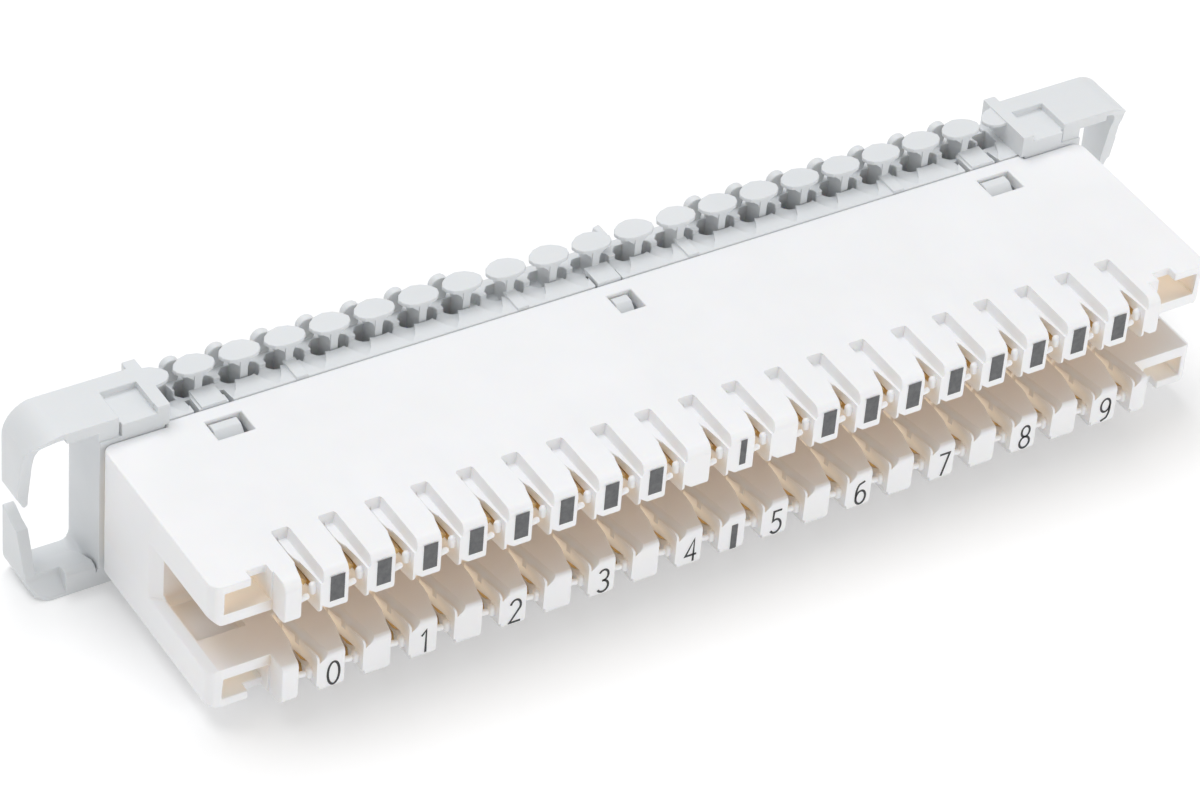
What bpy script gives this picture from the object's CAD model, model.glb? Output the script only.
import math
import random

import bmesh
import bpy
from mathutils import Matrix, Vector
from mathutils.bvhtree import BVHTree
from mathutils.kdtree import KDTree


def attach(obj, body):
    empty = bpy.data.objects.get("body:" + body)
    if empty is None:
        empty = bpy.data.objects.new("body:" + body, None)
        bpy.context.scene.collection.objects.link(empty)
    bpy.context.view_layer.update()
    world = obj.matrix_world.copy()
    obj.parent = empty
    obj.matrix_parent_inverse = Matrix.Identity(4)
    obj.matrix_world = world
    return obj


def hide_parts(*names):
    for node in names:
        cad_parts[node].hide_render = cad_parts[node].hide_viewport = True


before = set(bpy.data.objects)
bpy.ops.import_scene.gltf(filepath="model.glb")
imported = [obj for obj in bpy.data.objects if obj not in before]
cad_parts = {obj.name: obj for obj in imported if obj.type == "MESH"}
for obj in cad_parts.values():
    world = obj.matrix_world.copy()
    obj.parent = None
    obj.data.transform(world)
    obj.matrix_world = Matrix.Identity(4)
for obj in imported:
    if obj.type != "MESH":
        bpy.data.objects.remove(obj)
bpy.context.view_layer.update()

random.seed(7)
MM = 0.001
P = 4.8 * MM          # pitch of the slots
YC = 16.1 * MM        # tooth faces lie at y = -YC
ZC = 9.85 * MM       # middle plane of the block


# ------------------------------------------------------------ materials

def new_material(name):
    m = bpy.data.materials.new(name)
    m.use_nodes = True
    nt = m.node_tree
    nt.nodes.clear()
    out = nt.nodes.new("ShaderNodeOutputMaterial")
    bsdf = nt.nodes.new("ShaderNodeBsdfPrincipled")
    nt.links.new(bsdf.outputs[0], out.inputs[0])
    return m, nt, bsdf


def noise(nt, coord, scale, detail=3.0, rough=0.5):
    n = nt.nodes.new("ShaderNodeTexNoise")
    n.inputs["Scale"].default_value = scale
    n.inputs["Detail"].default_value = detail
    n.inputs["Roughness"].default_value = rough
    nt.links.new(coord, n.inputs["Vector"])
    return n.outputs[0]


def ramp(nt, fac, stops):
    r = nt.nodes.new("ShaderNodeValToRGB")
    cr = r.color_ramp
    while len(cr.elements) < len(stops):
        cr.elements.new(0.5)
    for e, (pos, col) in zip(cr.elements, stops):
        e.position = pos
        e.color = (*col, 1)
    nt.links.new(fac, r.inputs[0])
    return r.outputs[0]


def value_map(nt, fac, a, b):
    r = nt.nodes.new("ShaderNodeMapRange")
    r.inputs["To Min"].default_value = a
    r.inputs["To Max"].default_value = b
    nt.links.new(fac, r.inputs[0])
    return r.outputs[0]


def mix(nt, fac, a, b):
    n = nt.nodes.new("ShaderNodeMix")
    n.data_type = "RGBA"
    nt.links.new(fac, n.inputs[0])
    for sock, v in ((n.inputs[6], a), (n.inputs[7], b)):
        if isinstance(v, tuple):
            sock.default_value = (*v, 1)
        else:
            nt.links.new(v, sock)
    return n.outputs[2]


def moulded(name, low, high, rough, fine_bump, sss=0.0, deep=None, reach=0.005):
    """Injection-moulded plastic: faint colour drift, fine eroded grain and slight waviness.
    Inside narrow spaces the plastic takes the warm tone that light bounced off brass gives it."""
    m, nt, b = new_material(name)
    tc = nt.nodes.new("ShaderNodeTexCoord").outputs["Object"]
    drift = noise(nt, tc, 90, 4)
    col = ramp(nt, drift, [(0.3, low), (0.7, high)])
    if deep:
        ao = nt.nodes.new("ShaderNodeAmbientOcclusion")
        ao.samples = 8
        ao.inputs["Distance"].default_value = reach
        wide = nt.nodes.new("ShaderNodeAmbientOcclusion")
        wide.samples = 8
        wide.inputs["Distance"].default_value = 0.012
        def shade(open_at, shut_at, ao=ao):
            mr = nt.nodes.new("ShaderNodeMapRange")
            mr.inputs["From Min"].default_value = open_at
            mr.inputs["From Max"].default_value = shut_at
            nt.links.new(ao.outputs["AO"], mr.inputs[0])
            return mr.outputs[0]
        # the outer faces with their funnels stay white
        xyz = nt.nodes.new("ShaderNodeSeparateXYZ")
        nt.links.new(tc, xyz.inputs[0])
        off = nt.nodes.new("ShaderNodeMath")
        off.operation = "SUBTRACT"
        nt.links.new(xyz.outputs[2], off.inputs[0])
        off.inputs[1].default_value = ZC
        dist = nt.nodes.new("ShaderNodeMath")
        dist.operation = "ABSOLUTE"
        nt.links.new(off.outputs[0], dist.inputs[0])
        slots = nt.nodes.new("ShaderNodeMapRange")
        slots.inputs["From Min"].default_value = 0.0056
        slots.inputs["From Max"].default_value = 0.0038
        nt.links.new(dist.outputs[0], slots.inputs[0])
        pockets = nt.nodes.new("ShaderNodeMapRange")
        pockets.inputs["From Min"].default_value = 0.0066
        pockets.inputs["From Max"].default_value = 0.0054
        nt.links.new(dist.outputs[0], pockets.inputs[0])
        across = nt.nodes.new("ShaderNodeMath")
        across.operation = "ABSOLUTE"
        nt.links.new(xyz.outputs[0], across.inputs[0])
        at_end = nt.nodes.new("ShaderNodeMath")
        at_end.operation = "GREATER_THAN"
        nt.links.new(across.outputs[0], at_end.inputs[0])
        at_end.inputs[1].default_value = 0.0496
        inner = nt.nodes.new("ShaderNodeMix")
        nt.links.new(at_end.outputs[0], inner.inputs[0])
        nt.links.new(slots.outputs[0], inner.inputs[2])
        nt.links.new(pockets.outputs[0], inner.inputs[3])

        def times(x, y):
            n = nt.nodes.new("ShaderNodeMath")
            n.operation = "MULTIPLY"
            nt.links.new(x, n.inputs[0])
            if isinstance(y, float):
                n.inputs[1].default_value = y
            else:
                nt.links.new(y, n.inputs[1])
            return n.outputs[0]
        col = mix(nt, times(shade(0.88, 0.42), inner.outputs[0]), col, deep)
        groove = nt.nodes.new("ShaderNodeMapRange")
        groove.inputs["From Min"].default_value = 0.0031
        groove.inputs["From Max"].default_value = 0.0027
        groove.inputs["To Max"].default_value = 0.8
        nt.links.new(dist.outputs[0], groove.inputs[0])
        col = mix(nt, times(shade(0.80, 0.42, wide), groove.outputs[0]), col, (0.86, 0.745, 0.635))
        # light that comes through the thin walls
        b.inputs["Emission Color"].default_value = (1.0, 0.90, 0.75, 1)
        nt.links.new(times(times(shade(0.46, 0.16), inner.outputs[0]), 0.21), b.inputs["Emission Strength"])
    nt.links.new(col, b.inputs["Base Color"])
    r = value_map(nt, noise(nt, tc, 420, 2), rough - 0.06, rough + 0.06)
    nt.links.new(r, b.inputs["Roughness"])
    grain = noise(nt, tc, 5200, 2)
    wave = noise(nt, tc, 160, 2)
    bump1 = nt.nodes.new("ShaderNodeBump")
    bump1.inputs["Strength"].default_value = 0.35
    bump1.inputs["Distance"].default_value = 0.00025
    nt.links.new(wave, bump1.inputs["Height"])
    bump = nt.nodes.new("ShaderNodeBump")
    bump.inputs["Strength"].default_value = fine_bump
    bump.inputs["Distance"].default_value = 0.00002
    nt.links.new(grain, bump.inputs["Height"])
    nt.links.new(bump1.outputs[0], bump.inputs["Normal"])
    nt.links.new(bump.outputs[0], b.inputs["Normal"])
    b.inputs["IOR"].default_value = 1.5
    if sss:
        b.inputs["Subsurface Weight"].default_value = sss
        b.inputs["Subsurface Radius"].default_value = (1.0, 0.75, 0.5)
        b.inputs["Subsurface Scale"].default_value = 0.0016
    return m


def stamped_brass():
    m, nt, b = new_material("stamped_contact_brass")
    tc = nt.nodes.new("ShaderNodeTexCoord").outputs["Object"]
    col = ramp(nt, noise(nt, tc, 700, 4), [(0.3, (0.56, 0.37, 0.15)), (0.7, (0.72, 0.51, 0.25))])
    nt.links.new(col, b.inputs["Base Color"])
    b.inputs["Metallic"].default_value = 1.0
    m2 = nt.nodes.new("ShaderNodeMapping")
    m2.inputs["Scale"].default_value = (1, 12, 12)
    nt.links.new(tc, m2.inputs[0])
    r = value_map(nt, noise(nt, m2.outputs[0], 900, 2), 0.22, 0.42)
    nt.links.new(r, b.inputs["Roughness"])
    bump = nt.nodes.new("ShaderNodeBump")
    bump.inputs["Strength"].default_value = 0.2
    bump.inputs["Distance"].default_value = 0.00002
    nt.links.new(noise(nt, m2.outputs[0], 2600, 2), bump.inputs["Height"])
    nt.links.new(bump.outputs[0], b.inputs["Normal"])
    return m


WHITE = moulded("white_moulded_plastic", (0.868, 0.869, 0.876), (0.90, 0.901, 0.912), 0.42, 0.12, 0.2, (0.84, 0.745, 0.64))
GREY = moulded("bluish_grey_plastic", (0.715, 0.737, 0.752), (0.755, 0.773, 0.786), 0.45, 0.14, 0.1)
BRASS = stamped_brass()


# ------------------------------------------------------------ soft moulded edges

INK = 0.02 * MM       # thickness kept free for the printed marks


def soften(node, name, width, material, segments=2, angle=24):
    """The node's own shape with every hard edge moulded to a small radius. Where two edges
    lie so close that the radius doesn't fit, it is made smaller there."""
    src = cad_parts[node]
    me = bpy.data.meshes.new(name)
    plain = bmesh.new()
    plain.from_mesh(src.data)
    bmesh.ops.remove_doubles(plain, verts=plain.verts, dist=2e-6)
    bmesh.ops.dissolve_degenerate(plain, dist=1e-6, edges=plain.edges)
    bmesh.ops.dissolve_limit(plain, angle_limit=math.radians(1.0), verts=plain.verts, edges=plain.edges)
    bmesh.ops.triangulate(plain, faces=[f for f in plain.faces if len(f.verts) > 4])
    plain.normal_update()
    plain.edges.index_update()
    tree = BVHTree.FromBMesh(plain)
    normals = [f.normal.copy() for f in plain.faces]
    hard = {e.index: 1.0 for e in plain.edges
            if len(e.link_faces) == 2 and e.calc_face_angle(0) > math.radians(angle)}
    plain.edges.ensure_lookup_table()
    marks_at = []
    for i in hard:
        pa, pb = (v.co for v in plain.edges[i].verts)
        steps = max(1, int((pb - pa).length / (width * 0.8)))
        marks_at += [(pa.lerp(pb, (k + 0.5) / steps), i) for k in range(steps)]
    kd = KDTree(len(marks_at))
    for k, (c, i) in enumerate(marks_at):
        kd.insert(c, k)
    kd.balance()
    layer = plain.edges.layers.float.get("bevel_weight_edge") or plain.edges.layers.float.new("bevel_weight_edge")
    ob = bpy.data.objects.new(name, me)
    bpy.context.scene.collection.objects.link(ob)
    mod = ob.modifiers.new("edge_radius", "BEVEL")
    mod.width = width
    mod.segments = segments
    mod.limit_method = "WEIGHT"
    mod.use_clamp_overlap = False
    mod.loop_slide = False
    rounds = 11
    for attempt in range(rounds):
        for i, w in hard.items():
            plain.edges[i][layer] = w
        plain.to_mesh(me)
        me.update()
        graph = bpy.context.evaluated_depsgraph_get()
        bm = bmesh.new()
        bm.from_mesh(ob.evaluated_get(graph).to_mesh())
        bmesh.ops.triangulate(bm, faces=[f for f in bm.faces if len(f.verts) > 4])
        bm.normal_update()
        near = set()
        count = 0
        for f in bm.faces:
            size = f.calc_area()
            if size < 8e-10:
                continue
            c = f.calc_center_median()
            hit = tree.find_nearest(c)
            if f.normal.dot(normals[hit[2]]) < 0.0:
                count += 1
                for v in [c] + [v.co for v in f.verts]:
                    near.update(marks_at[k][1] for _, k, _ in kd.find_range(v, width * 1.3))
        print(name, "round", attempt, "faces turned over", count, "edges made finer", len(near))
        if not near or attempt == rounds - 1:
            break
        for i in near:
            hard[i] = hard[i] * (0.55 if attempt < 5 else 0.3) if hard[i] > 0.2 and attempt < 8 else 0.0
        bm.free()
    plain.free()
    ob.modifiers.remove(mod)
    # a few slivers that still lie the wrong way round are turned back
    bmesh.ops.dissolve_degenerate(bm, dist=1e-6, edges=bm.edges)
    bmesh.ops.triangulate(bm, faces=[f for f in bm.faces if len(f.verts) > 4])
    bm.normal_update()
    nearest = {}
    for f in bm.faces:
        hit = tree.find_nearest(f.calc_center_median())
        n = normals[hit[2]]
        if f.normal.dot(n) < 0:
            f.normal_flip()
        nearest[f] = (n, hit[3])
    flat = {f: (n, f.calc_area()) for f, (n, d) in nearest.items() if f.normal.dot(n) > 0.9994 and d < 3e-6}
    # flat faces keep their own direction right up to the rounded edge
    corner_normals = []
    for f in bm.faces:
        fn = f.normal
        for v in f.verts:
            total = Vector((0, 0, 0))
            for g in v.link_faces:
                if g in flat:
                    n, size = flat[g]
                    if n.dot(fn) > 0.83:
                        total += n * size
            if total.length < 1e-14:
                for g in v.link_faces:
                    if g.normal.dot(fn) > 0.64:
                        total += g.normal * g.calc_area()
            corner_normals.append(total.normalized() if total.length > 1e-16 else fn.copy())
    corners = [Vector(c) for c in src.bound_box]
    low = [min(c[k] for c in corners) for k in range(3)]
    high = [max(c[k] for c in corners) for k in range(3)]
    for v in bm.verts:
        for k in range(3):
            v.co[k] = min(max(v.co[k], low[k]), high[k])
    if name == "housing_moulding":
        for v in bm.verts:      # room for the print, which is a thin film of ink on the tooth faces
            if v.co.y < -YC + 0.00001:
                v.co.y += INK
    for f in bm.faces:
        f.smooth = True
        f.material_index = 0
    bm.to_mesh(me)
    bm.free()
    me.name = name
    me.materials.append(material)
    me.normals_split_custom_set([tuple(n) for n in corner_normals])
    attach(ob, "root")
    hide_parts(node)
    return ob


housing = soften("front_housing", "housing_moulding", 0.16 * MM, WHITE)
base = soften("rear_base", "base_moulding", 0.14 * MM, GREY)
for n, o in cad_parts.items():
    if n.startswith("contact_"):
        o.data.materials.clear()
        o.data.materials.append(BRASS)

# ------------------------------------------------------------ printed marks

def ink(name, low, high):
    m, nt, b = new_material(name)
    tc = nt.nodes.new("ShaderNodeTexCoord").outputs["Object"]
    nt.links.new(ramp(nt, noise(nt, tc, 1500, 5, 0.7), [(0.35, low), (0.65, high)]), b.inputs["Base Color"])
    nt.links.new(value_map(nt, noise(nt, tc, 900, 2), 0.45, 0.65), b.inputs["Roughness"])
    return m


BAR_INK = ink("grey_pad_printed_ink", (0.088, 0.091, 0.095), (0.135, 0.138, 0.142))
DIGIT_INK = ink("dark_pad_printed_ink", (0.028, 0.03, 0.033), (0.05, 0.052, 0.056))


def arc(cx, cz, rx, rz, a0, a1, n=14):
    return [(cx + rx * math.cos(math.radians(a0 + (a1 - a0) * k / n)), cz + rz * math.sin(math.radians(a0 + (a1 - a0) * k / n)))
            for k in range(n + 1)]


# Strokes of plain numbers in a cell 1 wide and 1 high
NUMBERS = {
    "0": [[*arc(0.5, 0.5, 0.46, 0.5, 90, 450, 28)]],
    "1": [[(0.18, 0.78), (0.55, 1.0), (0.55, 0.0)]],
    "2": [[*arc(0.5, 0.72, 0.42, 0.28, 165, -25, 14), (0.06, 0.0), (0.96, 0.0)]],
    "3": [[*arc(0.44, 0.755, 0.40, 0.245, 150, -88, 14)], [(0.34, 0.51), *arc(0.42, 0.255, 0.46, 0.255, 88, -150, 14)]],
    "4": [[(0.72, 0.0), (0.72, 1.0), (0.04, 0.30), (0.98, 0.30)]],
    "5": [[(0.88, 1.0), (0.2, 1.0), (0.16, 0.56), *arc(0.42, 0.31, 0.46, 0.31, 100, -145, 16)]],
    "6": [[(0.78, 1.0), *arc(0.62, 0.5, 0.54, 0.5, 125, 190, 7), *arc(0.5, 0.30, 0.42, 0.30, 180, -180, 24)]],
    "7": [[(0.06, 1.0), (0.94, 1.0), (0.36, 0.0)]],
    "8": [[*arc(0.5, 0.755, 0.36, 0.245, -90, 270, 22)], [*arc(0.5, 0.255, 0.44, 0.255, 90, 450, 24)]],
    "9": [[(0.22, 0.0), *arc(0.38, 0.5, 0.54, 0.5, -55, 10, 7), *arc(0.5, 0.70, 0.42, 0.30, 0, 360, 24)]],
}


def stroke(verts, faces, line, y, half):
    """A ribbon of constant width along a line of X-Z points."""
    pts = [Vector((a, b)) for a, b in line]
    pts = [p for i, p in enumerate(pts) if i == 0 or (p - pts[i - 1]).length > 1e-7]
    closed = (pts[0] - pts[-1]).length < 1e-6
    if closed:
        pts = pts[:-1]
    n = len(pts)
    start = len(verts)
    for i, p in enumerate(pts):
        before = pts[i - 1] if (i or closed) else None
        after = pts[(i + 1) % n] if (i < n - 1 or closed) else None
        d1 = (p - before).normalized() if before is not None else (after - p).normalized()
        d2 = (after - p).normalized() if after is not None else d1
        d = (d1 + d2)
        d = d.normalized() if d.length > 0.3 else d2
        k = half / max(0.55, d.dot(d2))
        nrm = Vector((-d.y, d.x)) * k
        for q in (p + nrm, p - nrm):
            verts.append((q.x, y, q.y))
    for i in range(n if closed else n - 1):
        a, b = start + 2 * i, start + 2 * ((i + 1) % n)
        faces.append((a, a + 1, b + 1, b))


def marks(name, verts, faces, material):
    me = bpy.data.meshes.new(name)
    me.from_pydata(verts, [], faces)
    bm = bmesh.new()
    bm.from_mesh(me)
    bmesh.ops.recalc_face_normals(bm, faces=bm.faces)
    for f in bm.faces:
        if f.normal.y > 0:
            f.normal_flip()
    bm.to_mesh(me)
    bm.free()
    me.materials.append(material)
    ob = bpy.data.objects.new(name, me)
    bpy.context.scene.collection.objects.link(ob)
    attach(ob, "root")
    return ob


INK_Y = -YC + 0.006 * MM
bv, bf = [], []


def bar(x, z, w, h):
    s = len(bv)
    for dx, dz in ((-w, -h), (w, -h), (w, h), (-w, h)):
        bv.append((x + dx / 2, INK_Y, z + dz / 2))
    bf.append((s, s + 1, s + 2, s + 3))


for i in [*range(1, 9), *range(12, 20)]:
    bar((i - 10) * P - 0.365 * MM, ZC + 5.23 * MM, 1.48 * MM, 2.98 * MM)
for s in (1, -1):
    bar(-0.37 * MM, ZC + s * 5.23 * MM, 0.7 * MM, 2.98 * MM)
marks("printed_bars", bv, bf, BAR_INK)

dv, df = [], []
NUM_W, NUM_H, NUM_T = 1.30 * MM, 2.72 * MM, 0.25 * MM
for k in range(10):
    x0 = (2 * k + 1 - 10) * P - 0.365 * MM - NUM_W / 2
    z0 = ZC - 5.18 * MM - NUM_H / 2
    for line in NUMBERS[str(k)]:
        stroke(dv, df, [(x0 + a * NUM_W, z0 + b * NUM_H) for a, b in line], INK_Y, NUM_T / 2)
marks("printed_numbers", dv, df, DIGIT_INK)

# ------------------------------------------------------------ floor, light, camera

floor_me = bpy.data.meshes.new("floor")
bm = bmesh.new()
bmesh.ops.create_grid(bm, x_segments=4, y_segments=4, size=3)
bm.to_mesh(floor_me)
bm.free()
floor = bpy.data.objects.new("floor", floor_me)
bpy.context.scene.collection.objects.link(floor)
fm, nt, b = new_material("pale_floor")
tc = nt.nodes.new("ShaderNodeTexCoord").outputs["Object"]
nt.links.new(ramp(nt, noise(nt, tc, 6, 2), [(0.3, (0.90, 0.90, 0.90)), (0.7, (0.93, 0.93, 0.93))]), b.inputs["Base Color"])
b.inputs["Roughness"].default_value = 0.9
b.inputs["Emission Color"].default_value = (1, 1, 1, 1)
b.inputs["Emission Strength"].default_value = 0.15
floor_me.materials.append(fm)

world = bpy.data.worlds.new("studio")
bpy.context.scene.world = world
world.use_nodes = True
world.node_tree.nodes["Background"].inputs[0].default_value = (1.0, 1.0, 1.0, 1)
world.node_tree.nodes["Background"].inputs[1].default_value = 0.53


def area(name, loc, target, size, power, colour=(1, 1, 1)):
    l = bpy.data.lights.new(name, "AREA")
    l.shape = "RECTANGLE"
    l.size, l.size_y = size
    l.energy = power
    l.color = colour
    o = bpy.data.objects.new(name, l)
    o.location = loc
    o.rotation_euler = (Vector(target) - Vector(loc)).to_track_quat("-Z", "Y").to_euler()
    bpy.context.scene.collection.objects.link(o)
    return o


area("top_soft_box", (-0.1, 0.25, 0.75), (0, 0, 0), (0.7, 0.5), 3.35, (0.98, 0.985, 1.0))
area("front_fill", (0.35, -0.75, 0.35), (0, 0, 0.01), (0.6, 0.4), 1.75)

cam = bpy.data.cameras.new("camera")
cam.sensor_width = 36.0
cam.sensor_fit = "HORIZONTAL"
cam.lens = 36.0 * 5143.4657 / 1200.0
cam.clip_start = 0.01
cam.clip_end = 20
cam_rows = [(0.85794383, 0.27719115, -0.43254763), (-0.50918954, 0.57065778, -0.64426370), (0.06825247, 0.77299079, 0.63073516)]
cam_at = (-0.2190013, -0.3169609, 0.3219010)
cam_ob = bpy.data.objects.new("camera", cam)
bpy.context.scene.collection.objects.link(cam_ob)
cam_ob.matrix_world = Matrix([(*cam_rows[i], cam_at[i]) for i in range(3)] + [(0, 0, 0, 1)])
bpy.context.scene.camera = cam_ob
scene = bpy.context.scene
scene.view_settings.view_transform = "Standard"
scene.view_settings.look = "None"
